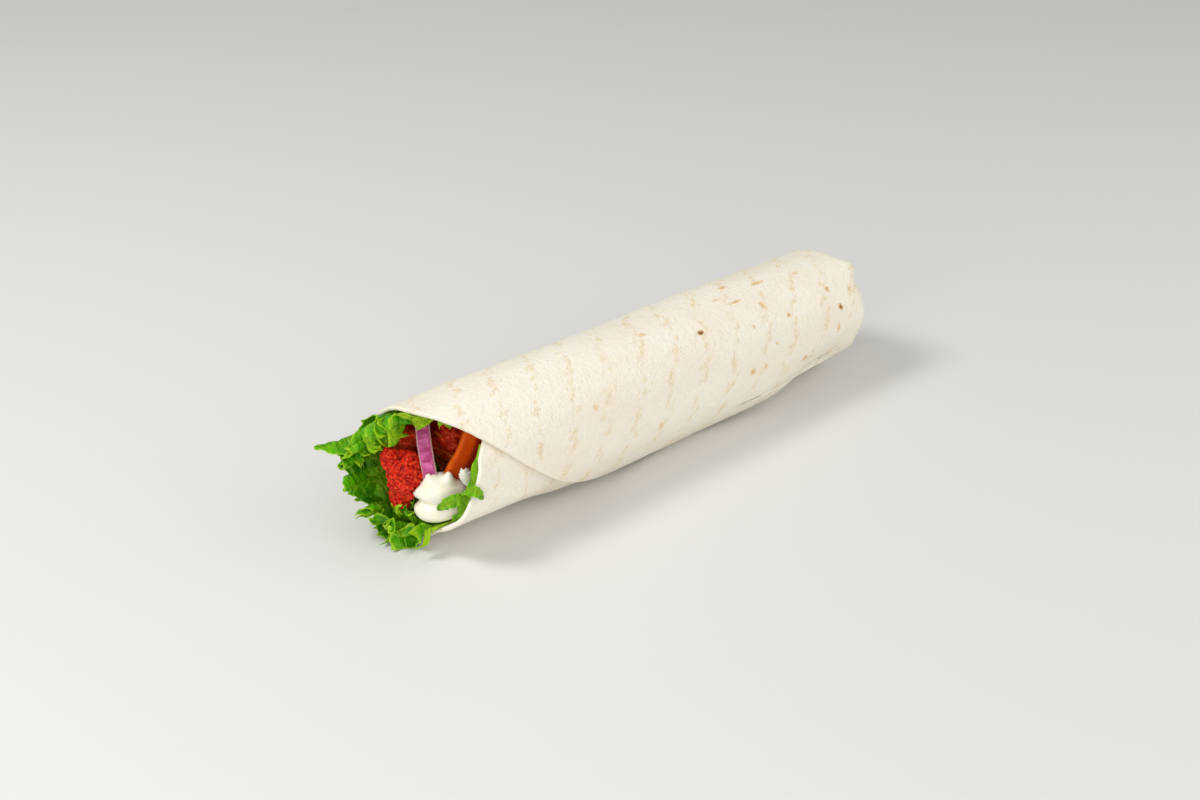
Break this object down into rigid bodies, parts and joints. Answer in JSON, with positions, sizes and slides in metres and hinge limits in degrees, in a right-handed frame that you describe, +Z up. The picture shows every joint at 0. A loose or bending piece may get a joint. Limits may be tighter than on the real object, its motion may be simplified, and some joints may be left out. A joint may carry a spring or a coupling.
{
  "type": "chicken tikka wrap",
  "caption": "Rolled flour tortilla wrap lying down, open at one end on spiced chicken, curly lettuce, red onion, pepper and white sauce, tucked in at the other.",
  "frame": {"origin": "on the surface that the wrap lies on, under the middle of its whole length and width", "axes": "+X along the roll towards the tucked end, +Y towards the back (the front, -Y, has the loose flap's edge), +Z up"},
  "size_m": [0.2482, 0.0597, 0.0534],
  "materials": {
    "tortilla": "matt floury, with pale brown griddle marks",
    "lettuce": "fresh, slightly waxy",
    "chicken": "moist, grainy spice coating",
    "onion": "moist, striped",
    "pepper": "moist, smooth",
    "sauce": "wet, creamy"
  },
  "bodies": {
    "root": {"tortilla": "tortilla", "lettuce_back_leaf": "lettuce", "lettuce_under_leaf": "lettuce", "lettuce_sprig": "lettuce", "chicken_filling": "chicken", "chicken_front_chunk": "chicken", "onion_slice": "onion", "pepper_strip": "pepper", "white_sauce": "sauce"}
  },
  "joints": []
}
